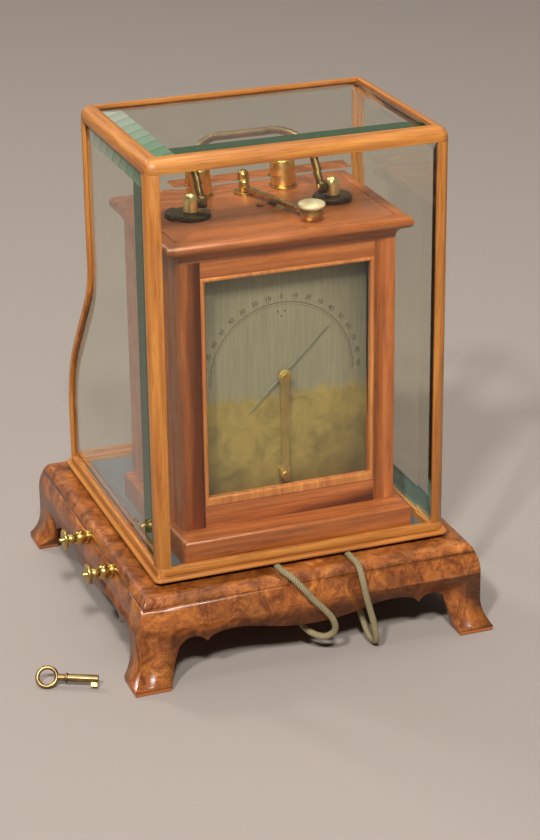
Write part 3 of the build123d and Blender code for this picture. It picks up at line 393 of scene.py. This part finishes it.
def plateGlass(name):  # clear glass that lets the lamps' light through to what stands behind it
    look = glass[name]
    material, shader = newMaterial(name, 0.0)
    shader.inputs["Base Color"].default_value = paint(look["tint"])
    shader.inputs["Transmission Weight"].default_value = 1.0
    shader.inputs["IOR"].default_value = glass["refraction"]
    haze = addNode(material, "ShaderNodeBsdfDiffuse", Color=paint(glass["haze"]))
    hazy = mixShaders(material, look["veil"], shader.outputs[0], haze.outputs[0])
    clear = addNode(material, "ShaderNodeBsdfTransparent", Color=paint(glass["clear"]))
    light = addNode(material, "ShaderNodeLightPath").outputs
    through = larger(material, light["Is Shadow Ray"], light["Is Diffuse Ray"])
    join(material, mixShaders(material, through, hazy, clear.outputs[0]),
         material.node_tree.nodes["Material Output"].inputs["Surface"])
    return material


edgeGlass = {  # painted reflection colours go from front to rear between two ends on Y; painted reflection facets step along a slanted line
    "rough": 0.06, "specular": 0.3, "refraction": 1.5,
    "paintedFacetShade": [(0.0, 1.0), (0.78, 0.8), (0.88, 0.62), (0.97, 0.5), (1.0, 1.0)],
    "bands": {
        "dark": {"front": "1f4429", "rear": "1f4429", "ends": (-100, 100), "step": 60, "slant": (0, 0, 1),
                 "paintedFacets": 0.1, "clear": 0.2},
        "facet": {"front": "4d7c58", "rear": "b2b3a2", "ends": (-95, 70), "step": 15,
                  "slant": (-0.5, 1, 0.5), "paintedFacets": 0.8, "clear": 0.2},
        "pale": {"front": "6f9a92", "rear": "a9d0c8", "ends": (-90, 90), "step": 60, "slant": (0, 1, 0),
                 "paintedFacets": 0.1, "clear": 0.45},
    },
}


def bevelGlass(name, look):  # ground edge bands: green glass with painted reflection, in slanted facets, paler towards the rear
    material, shader = newMaterial(name, edgeGlass["rough"], specular=edgeGlass["specular"])
    slant = addNode(material, "ShaderNodeVectorMath", operation="DOT_PRODUCT")
    join(material, objectPlace(material), slant.inputs[0])
    slant.inputs[1].default_value = [part / (look["step"] * mm) for part in look["slant"]]
    facet = addNode(material, "ShaderNodeMath", operation="FRACT")
    join(material, slant.outputs["Value"], facet.inputs[0])
    # painted reflection: the tone pales from the front towards the rear
    rearward = spread(material, alongAxis(material, "Y"), [end * mm for end in look["ends"]])
    tone = ramp(material, rearward, [(0.0, look["front"]), (1.0, look["rear"])])
    # painted reflection: darker lines at each facet step
    paintedFacets = ramp(material, facet.outputs[0], edgeGlass["paintedFacetShade"])
    join(material, shaded(material, look["paintedFacets"], tone, paintedFacets), shader.inputs["Base Color"])
    shader.inputs["Transmission Weight"].default_value = look["clear"]
    shader.inputs["IOR"].default_value = edgeGlass["refraction"]
    return material


# Cord covering and painted or inked things

leadCloth = {
    "rough": 0.85, "twist": (8, 900), "waveScale": 0.5, "braidShare": 0.5,
    "threads": [(0.1, "61553a"), (0.5, "94845e"), (0.9, "b3a27c")],
    "worn": (140, 3), "wornShade": [(0.3, 0.75), (0.7, 1.0)], "wornShare": 0.8, "bump": (0.5, 0.0004),
}


def wovenCord(look):  # a braid that follows the cord's own UV: U round it, V along it in metres
    material, shader = newMaterial("wovenCord", look["rough"])
    place = addNode(material, "ShaderNodeUVMap")
    strands = []
    for way in (-1, 1):
        turned = addNode(material, "ShaderNodeMapping", Scale=(look["twist"][0], look["twist"][1] * way, 1))
        join(material, place.outputs[0], turned.inputs["Vector"])
        wave = addNode(material, "ShaderNodeTexWave", Scale=look["waveScale"], bands_direction="DIAGONAL")
        join(material, turned.outputs[0], wave.inputs["Vector"])
        strands.append(wave.outputs["Fac"])
    braid = shaded(material, look["braidShare"], strands[0], strands[1])
    worn = noise(material, objectPlace(material), *look["worn"])
    tone = ramp(material, braid, look["threads"])
    tone = shaded(material, look["wornShare"], tone, ramp(material, worn, look["wornShade"]))
    join(material, tone, shader.inputs["Base Color"])
    bump(material, shader, braid, *look["bump"])
    return material


plainFinishes = {
    "coveredWire": {"colours": [(0.3, "1c3a1c"), (0.7, "2f5a2c")], "rough": 0.7, "mottle": (900, 3)},
    "needleSteel": {"colours": [(0.3, "6c6c62"), (0.7, "88887c")], "rough": 0.5, "mottle": (300, 3)},
    "engravedInk": {"colours": [(0.3, "12120f"), (0.7, "23231d")], "rough": 0.6, "mottle": (900, 3)},
}
plainBump = (0.1, 0.0002)


def plainColour(name):
    look = plainFinishes[name]
    material, shader = newMaterial(name, look["rough"])
    tone = noise(material, objectPlace(material), *look["mottle"])
    join(material, ramp(material, tone, look["colours"]), shader.inputs["Base Color"])
    bump(material, shader, tone, *plainBump)
    return material


woods = {key + way: grainWood(key, straightWood[key], way) for key in straightWood for way in "XYZ"}
burrs = {key: burrWood(key, burrVeneer) for key in burrVeneer["stretch"]}
brass = {key: metal(key) for key in metals}
reflectionBandGlass = {key: bevelGlass(key + "PaintedReflectionBand", look) for key, look in edgeGlass["bands"].items()}
print("materials done")


# Nodes that keep their shape get their finish; merged copies with eased edges stand for the others

easedEdges = {  # widths in mm, angles in degrees
    "wood": 0.35, "frame": 0.3, "bead": 0.25, "sole": 0.2, "nut": 0.15, "metal": 0.12, "crisp": 0,
    "from": 35, "segments": 2, "merge": 0.01, "flatWithin": 0.6,
}


def eased(node, material, body, edge):
    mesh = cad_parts[node].data.copy()
    shape = bmesh.new()
    shape.from_mesh(mesh)
    bmesh.ops.remove_doubles(shape, verts=shape.verts, dist=easedEdges["merge"] * mm)
    bmesh.ops.dissolve_limit(shape, angle_limit=math.radians(easedEdges["flatWithin"]), verts=shape.verts,
                             edges=shape.edges)
    shape.to_mesh(mesh)
    shape.free()
    piece = bpy.data.objects.new(node + "_dressed", mesh)
    bpy.context.collection.objects.link(piece)
    mesh.materials.clear()
    mesh.materials.append(material)
    mesh.shade_smooth()
    if easedEdges[edge]:
        soft = piece.modifiers.new("easedEdges", "BEVEL")
        soft.width = easedEdges[edge] * mm
        soft.segments = easedEdges["segments"]
        soft.limit_method = "ANGLE"
        soft.angle_limit = math.radians(easedEdges["from"])
        soft.harden_normals = True
    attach(piece, body)
    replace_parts(piece, node)
    return piece


def finishNode(node, material):
    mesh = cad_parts[node].data
    mesh.materials.clear()
    mesh.materials.append(material)


# Cover: posts and rails, each with its grain along it

for side in ("front", "rear"):
    for hand in ("left", "right"):
        eased("cover_post_%s_%s" % (side, hand), woods["coverWoodZ"], "cover", "wood")
for place in ("top", "bottom"):
    for side, way in (("front", "X"), ("rear", "X"), ("left", "Y"), ("right", "Y")):
        eased("cover_%s_rail_%s" % (place, side), woods["coverWood" + way], "cover", "wood")

# Base and instrument case

for node, finish in (("base_deck", "burrFront"), ("base_apron_front", "burrFront"),
                     ("base_apron_rear", "burrFront"), ("base_apron_left", "burrSide"),
                     ("base_apron_right", "burrSide")):
    eased(node, burrs[finish], "base", "crisp")
eased("base_foot_soles", woods["mahoganyWoodX"], "base", "sole")

for node, way in (("instrument_board", "X"), ("carcass_sides", "Z"), ("carcass_back", "Z"),
                  ("carcass_top", "X")):
    eased(node, woods["mahoganyWood" + way], "base", "wood")
eased("dial_bead", woods["beadWoodZ"], "base", "bead")

frontFrame = eased("front_frame", woods["mahoganyWoodZ"], "base", "frame").data
frontFrame.materials.append(woods["mahoganyWoodX"])
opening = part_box("dial_bead")
for face in frontFrame.polygons:  # the two rails have their grain across
    face.material_index = 1 if opening[0][0] - mm < face.center.x < opening[1][0] + mm else 0

# Panes: each line is an axis, a place on it in mm, the side of it that shows green glass and painted
# reflection, and the kind of band

# the dark bands reach past the ground bevel as painted reflection of the front rail; the pale band is painted
# refraction of the backdrop
greenAndReflectionBands = {
    "pane_top": [(0, -79.5, -1, "facet"), (1, -76, -1, "dark")],
    "pane_left": [(2, 339, 1, "facet"), (1, -73, -1, "dark")],
    "pane_right": [(2, 90, -1, "pale")],
    "pane_front": [],
    "pane_rear": [],
}
paneOutside = {"pane_top": (0, 0, 1), "pane_left": (-1, 0, 0), "pane_right": (1, 0, 0)}
outwardFrom = 0.9  # the least part of a face's normal that points to the pane's outside


def pane(node, material):  # a pane whose ground border shows the green of the glass and painted reflection
    piece = eased(node, material, "cover", "crisp")
    mesh = piece.data
    shape = bmesh.new()
    shape.from_mesh(mesh)
    for axis, place, side, kind in greenAndReflectionBands[node]:
        normal = Vector([1 if k == axis else 0 for k in range(3)])
        bmesh.ops.bisect_plane(shape, geom=shape.verts[:] + shape.edges[:] + shape.faces[:],
                               dist=easedEdges["merge"] * mm, plane_co=normal * place * mm, plane_no=normal)
    shape.to_mesh(mesh)
    shape.free()
    mesh.shade_flat()
    for band in reflectionBandGlass.values():
        mesh.materials.append(band)
    for face in mesh.polygons:
        for axis, place, side, kind in greenAndReflectionBands[node]:
            outward = face.normal.dot(Vector(paneOutside[node])) > outwardFrom
            if outward and (face.center[axis] - place * mm) * side > 0:
                face.material_index = 1 + list(reflectionBandGlass).index(kind)
                break


coverGlass = plateGlass("coverGlass")
for node in greenAndReflectionBands:
    pane(node, coverGlass)
print("woodwork and panes done")

# Metal fittings, knob, floor and dial

for node, finish, body, slotName in (
        ("handle_plates", handlePlateMetal(handlePlate), "base", "dark_lacquer"),
        ("handle_bail", brass["darkBrass"], "handle", "handle_brass"),
        ("terminal_drum_left", brass["goldBrass"], "drum_left", "drum_brass"),
        ("terminal_drum_right", brass["goldBrass"], "drum_right", "drum_brass"),
        ("terminal_studs", brass["oldBrass"], "base", "brass"),
        ("lever_seat", brass["oldBrass"], "base", "brass"),
        ("contact_studs", brass["darkBrass"], "base", "lever_brass"),
        ("contact_lever", brass["oldBrass"], "lever", "lever_brass"),
        ("lever_knob", ivory(knobIvory), "lever", "ivory"),
        ("bridge_cock", brass["cockBrass"], "base", "brass"),
        ("cock_screws", brass["oldBrass"], "base", "steel"),
        ("binding_post_front", brass["oldBrass"], "base", "post_brass"),
        ("binding_post_rear", brass["oldBrass"], "base", "post_brass"),
        ("case_key", brass["keyMetal"], "key", "key_steel"),
        ("lock_case", brass["oldBrass"], "base", "brass"),
        ("lead_bushes", brass["oldBrass"], "base", "brass")):
    eased(node, finish, body, "metal")
for side in ("front", "rear"):
    eased("thumb_nut_" + side, brass["nutBrass"], "nut_" + side, "nut")

for node, finish in (
        ("needle", plainColour("needleSteel")),
        ("needle_arbor", brass["plainSteel"]),
        ("needle_magnet", brass["blueSteel"]),
        ("rear_bridge", brass["oldBrass"]),
        ("lock_bolt", brass["plainSteel"]),
        ("cover_staple", brass["plainSteel"]),
        ("coil_formers", woods["mahoganyWoodX"]),
        ("coil_windings", plainColour("coveredWire")),
        ("dial_glass", plateGlass("instrumentGlass")),
        ("dial_plate", silveredPlate(dialPlate)),
        ("floor_panel", cloth(floorClothAndShade))):
    finishNode(node, finish)

# The cock's bar and foot are slimmer than their solid

cockBar = {"bossReach": 5.5, "pivotHeight": 188.0, "slimmer": 0.64}
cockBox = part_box("bridge_cock")
cockMiddle = (cockBox[0][0] + cockBox[1][0]) / 2
for vertex in bpy.data.objects["bridge_cock_dressed"].data.vertices:
    if vertex.co.z < (cockBar["pivotHeight"] - cockBar["bossReach"]) * mm:
        vertex.co.x = cockMiddle + (vertex.co.x - cockMiddle) * cockBar["slimmer"]
print("fittings done")


# Leads

leads = {
    "radius": 2.3,
    "left": [(-20.2, -99.0, 65.4), (-20.2, -116.6, 65.4), (-17.2, -125.8, 65.6), (-9.8, -131.0, 57.0),
             (-2.4, -132.4, 47.2), (6.4, -132.6, 37.8), (12.6, -132.4, 28.6), (14.2, -130.6, 19.6),
             (8.0, -126.0, 13.6), (-1.0, -118.0, 15.6), (-6.6, -110.4, 24.0), (-9.8, -105.0, 34.0),
             (-11.6, -102.0, 43.6), (-11.6, -102.0, 53.8)],
    "right": [(32.0, -99.0, 65.4), (32.0, -116.6, 65.4), (32.8, -125.8, 65.2), (33.8, -131.2, 55.6),
              (35.6, -132.6, 44.0), (38.6, -132.8, 32.6), (42.0, -132.6, 20.4), (44.2, -132.1, 8.7),
              (44.9, -127.7, 4.3), (44.0, -121.5, 4.3), (42.6, -117.1, 8.7), (40.4, -112.6, 19.2),
              (37.8, -106.6, 31.0), (36.0, -103.0, 42.6), (36.0, -103.0, 53.8)],
    "sides": 20, "divisions": 14,
}


def centreLine(name, points):  # the smooth NURBS line through the route, as Blender itself divides it
    curve = bpy.data.curves.new(name + "Line", "CURVE")
    curve.dimensions = "3D"
    curve.resolution_u = leads["divisions"]
    spline = curve.splines.new("NURBS")
    spline.points.add(len(points) - 1)
    for control, point in zip(spline.points, points):
        control.co = (point[0] * mm, point[1] * mm, point[2] * mm, 1)
    spline.order_u = 3
    spline.use_endpoint_u = True
    line = bpy.data.objects.new(name + "Line", curve)
    mesh = bpy.data.meshes.new_from_object(line)
    path = [vertex.co.copy() for vertex in mesh.vertices]
    bpy.data.objects.remove(line)
    return path


def wovenLead(name, points, material):
    path = centreLine(name, points)
    shape = bmesh.new()
    layer = shape.loops.layers.uv.new("UVMap")
    count = leads["sides"]
    rings, runs = [], [0.0]
    across = Vector((1, 0, 0))
    for index, point in enumerate(path):
        ahead = path[min(index + 1, len(path) - 1)] - path[max(index - 1, 0)]
        ahead.normalize()
        across = (across - ahead * across.dot(ahead)).normalized()
        other = ahead.cross(across)
        rings.append([])
        for k in range(count):
            turn = 2 * math.pi * k / count
            spoke = across * math.cos(turn) + other * math.sin(turn)
            rings[-1].append(shape.verts.new(point + spoke * leads["radius"] * mm))
        if index:
            runs.append(runs[-1] + (point - path[index - 1]).length)
    for index in range(len(rings) - 1):
        for k in range(count):
            face = shape.faces.new((rings[index][k], rings[index][(k + 1) % count],
                                    rings[index + 1][(k + 1) % count], rings[index + 1][k]))
            corners = ((k, index), (k + 1, index), (k + 1, index + 1), (k, index + 1))
            for loop, (u, v) in zip(face.loops, corners):
                loop[layer].uv = (u / count, runs[v])
    shape.faces.new(list(reversed(rings[0])))
    shape.faces.new(rings[-1])
    bmesh.ops.recalc_face_normals(shape, faces=shape.faces)
    mesh = bpy.data.meshes.new(name)
    shape.to_mesh(mesh)
    shape.free()
    mesh.shade_smooth()
    mesh.materials.append(material)
    lead = bpy.data.objects.new(name, mesh)
    bpy.context.collection.objects.link(lead)
    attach(lead, "base")
    return lead


cordFinish = wovenCord(leadCloth)
for hand in ("left", "right"):
    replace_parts(wovenLead("woven_lead_" + hand, leads[hand], cordFinish), "lead_cord_" + hand)
print("leads done")


# Dial engraving

dial = {  # lengths in mm, angles in degrees
    "centre": (0.8, 188.0), "front": -64.0, "lift": 0.06,
    "rings": [(51.5, 0.4), (50.0, 0.2)], "arcFrom": -4, "arc": 188, "arcSteps": 94,
    "tickFrom": 52.0, "tickWidth": 0.22, "longTick": 1.9, "shortTick": 1.2, "tickEvery": 5,
    "numeralEvery": 10, "numeralRadius": 56.0, "numeralHeight": 4.6,
    "dots": [(0, 42.0), (-2.4, 45.2), (2.4, 45.2)], "dotRadius": 0.65, "dotSides": 12,
}


def flatPiece(name, shape, material):
    mesh = bpy.data.meshes.new(name)
    shape.to_mesh(mesh)
    shape.free()
    mesh.materials.append(material)
    piece = bpy.data.objects.new(name, mesh)
    bpy.context.collection.objects.link(piece)
    return piece


def turnedAway(degree, size):  # a turn about the dial's centre, clockwise from the top
    return Matrix.Rotation(math.radians(-degree), size, "Z")


def dialScale(ink, face):  # two arcs over the top half and a little past level, ticks and three dots
    shape = bmesh.new()
    for radius, width in dial["rings"]:
        start = [shape.verts.new((radius * mm, 0, 0)), shape.verts.new(((radius + width) * mm, 0, 0))]
        bmesh.ops.rotate(shape, cent=(0, 0, 0), matrix=turnedAway(-dial["arcFrom"], 3), verts=start)
        edge = shape.edges.new(start)
        bmesh.ops.spin(shape, geom=start + [edge], cent=(0, 0, 0), axis=(0, 0, 1),
                       angle=math.radians(dial["arc"]), steps=dial["arcSteps"])
    for degree in range(-90, 91, dial["tickEvery"]):
        tick = bmesh.ops.create_grid(shape, x_segments=1, y_segments=1, size=0.5)["verts"]
        long = dial["shortTick"] if degree % dial["numeralEvery"] else dial["longTick"]
        bmesh.ops.scale(shape, vec=(dial["tickWidth"] * mm, long * mm, 1), verts=tick)
        bmesh.ops.translate(shape, vec=(0, (dial["tickFrom"] + long / 2) * mm, 0), verts=tick)
        bmesh.ops.rotate(shape, cent=(0, 0, 0), matrix=turnedAway(degree, 3), verts=tick)
    for x, y in dial["dots"]:
        dot = bmesh.ops.create_circle(shape, cap_ends=True, segments=dial["dotSides"],
                                      radius=dial["dotRadius"] * mm)["verts"]
        bmesh.ops.translate(shape, vec=(x * mm, y * mm, 0), verts=dot)
    bmesh.ops.transform(shape, matrix=face, verts=shape.verts)
    bmesh.ops.recalc_face_normals(shape, faces=shape.faces)
    return flatPiece("dial_scale", shape, ink)


def writtenNumeral(degree, ink, face):
    words = bpy.data.curves.new("numeral", "FONT")
    words.body = str(abs(degree))
    words.size = dial["numeralHeight"] * mm
    words.align_x = "CENTER"
    words.align_y = "CENTER"
    written = bpy.data.objects.new("numeral", words)
    mesh = bpy.data.meshes.new_from_object(written)
    bpy.data.objects.remove(written)
    mesh.transform(face @ turnedAway(degree, 4) @ Matrix.Translation((0, dial["numeralRadius"] * mm, 0)))
    mesh.materials.clear()
    mesh.materials.append(ink)
    piece = bpy.data.objects.new("numeral_%s%d" % ("left" if degree < 0 else "right", abs(degree)), mesh)
    bpy.context.collection.objects.link(piece)
    return piece


def engraving():
    ink = plainColour("engravedInk")
    x, z = dial["centre"]
    face = Matrix.Translation((x * mm, (dial["front"] - dial["lift"]) * mm, z * mm))
    face = face @ Matrix.Rotation(math.pi / 2, 4, "X")
    scale = dialScale(ink, face)
    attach(scale, "base")
    for degree in range(-90, 91, dial["numeralEvery"]):
        numeral = writtenNumeral(degree, ink, face)
        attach(numeral, "base")


engraving()
print("dial done")


# Floor, lamps and world

studio = {  # places and sizes in metres, power in watts
    "floor": "958a81", "floorRough": 0.95, "floorShine": 0.2, "floorReach": 9, "floorDrop": 0.0004,
    "backdrop": "9d938b", "fade": (1.9, 4.5),
    "aim": (0, 0, 0.15),
    "lamps": {
        "keyLamp": {"place": (-0.9, -3.0, 3.1), "size": 0.4, "power": 155},
        "leftLamp": {"place": (-2.0, -2.5, 3.15), "size": 0.3, "power": 130},
        "rearLamp": {"place": (-1.4, 2.3, 2.6), "size": 0.5, "power": 36},
        "topLamp": {"place": (0.1, 0.3, 2.9), "size": 1.5, "power": 30},
    },
    "world": "b5aea8", "worldStrength": 0.3,
}


def seenRays(owner):  # 1 for the rays that show the backdrop itself, straight, through glass or in metal
    light = addNode(owner, "ShaderNodeLightPath").outputs
    straight = larger(owner, light["Is Camera Ray"], light["Is Transmission Ray"])
    return larger(owner, straight, light["Is Glossy Ray"])


def makeFloor():  # plain floor whose far part fades into the backdrop
    shape = bmesh.new()
    bmesh.ops.create_grid(shape, x_segments=1, y_segments=1, size=studio["floorReach"])
    bmesh.ops.translate(shape, vec=(0, 0, -studio["floorDrop"]), verts=shape.verts)
    ground, shader = newMaterial("studioFloor", studio["floorRough"], specular=studio["floorShine"])
    shader.inputs["Base Color"].default_value = paint(studio["floor"])
    far = addNode(ground, "ShaderNodeVectorMath", operation="LENGTH")
    join(ground, objectPlace(ground), far.inputs[0])
    seenFar = addNode(ground, "ShaderNodeMath", operation="MULTIPLY")
    join(ground, spread(ground, far.outputs["Value"], studio["fade"]), seenFar.inputs[0])
    join(ground, seenRays(ground), seenFar.inputs[1])
    glow = addNode(ground, "ShaderNodeEmission", Color=paint(studio["backdrop"]))
    join(ground, mixShaders(ground, seenFar.outputs[0], shader.outputs[0], glow.outputs[0]),
         ground.node_tree.nodes["Material Output"].inputs["Surface"])
    floor = flatPiece("studio_floor", shape, ground)


def makeLamps():
    for name, look in studio["lamps"].items():
        lamp = bpy.data.lights.new(name, "AREA")
        lamp.size = look["size"]
        lamp.energy = look["power"]
        holder = bpy.data.objects.new(name, lamp)
        bpy.context.collection.objects.link(holder)
        holder.location = look["place"]
        toward = Vector(studio["aim"]) - Vector(look["place"])
        holder.rotation_euler = toward.to_track_quat("-Z", "Y").to_euler()


def makeWorld():
    world = bpy.data.worlds.new("studioWorld")
    world.use_nodes = True
    light = world.node_tree.nodes["Background"]
    light.inputs["Color"].default_value = paint(studio["world"])
    light.inputs["Strength"].default_value = studio["worldStrength"]
    backdrop = addNode(world, "ShaderNodeBackground", Color=paint(studio["backdrop"]))
    join(world, mixShaders(world, seenRays(world), light.outputs[0], backdrop.outputs[0]),
         world.node_tree.nodes["World Output"].inputs["Surface"])
    bpy.context.scene.world = world
    bpy.context.scene.view_settings.view_transform = "Standard"


makeFloor()
makeLamps()
makeWorld()
print("studio done")
